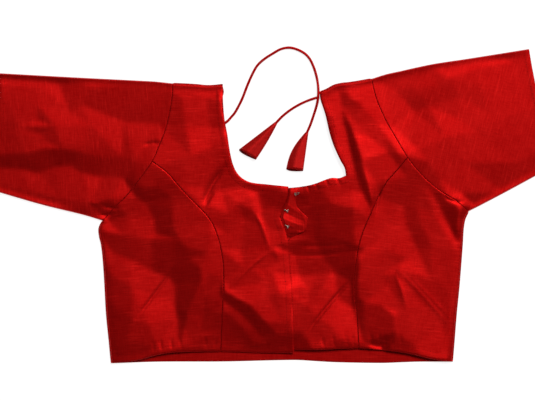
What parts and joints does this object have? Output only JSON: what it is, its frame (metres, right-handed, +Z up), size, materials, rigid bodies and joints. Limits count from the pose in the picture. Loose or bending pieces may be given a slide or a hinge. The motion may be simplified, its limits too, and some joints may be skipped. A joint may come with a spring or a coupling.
{
  "type": "choli blouse",
  "caption": "Short silk sari blouse with elbow sleeves, princess seams, a deep neck, a front lap and neck ties ending in cloth tassels, laid flat.",
  "frame": {"origin": "middle of the garment's box, on the surface it lies on", "axes": "+X to the wearer's left, +Y up the body to the shoulders, +Z up out of the front"},
  "size_m": [0.779, 0.4387, 0.0177],
  "materials": {
    "red_silk": "slubbed dupion silk with a soft sheen",
    "cord_silk": "bias-cut silk, turned to a round cord",
    "tassel_silk": "folded dupion silk",
    "hook_steel": "dull nickel-plated wire"
  },
  "bodies": {
    "root": {"back_panel": "red_silk", "front_centre_right": "red_silk", "front_side_right": "red_silk", "front_centre_left": "red_silk", "front_side_left": "red_silk", "underlap_strip": "red_silk", "sleeve_right": "red_silk", "sleeve_left": "red_silk", "dori_right": "cord_silk", "dori_left": "cord_silk", "tassel_right": "tassel_silk", "tassel_left": "tassel_silk", "eye_top": "hook_steel", "hook_upper": "hook_steel", "hook_lower": "hook_steel"}
  },
  "joints": []
}
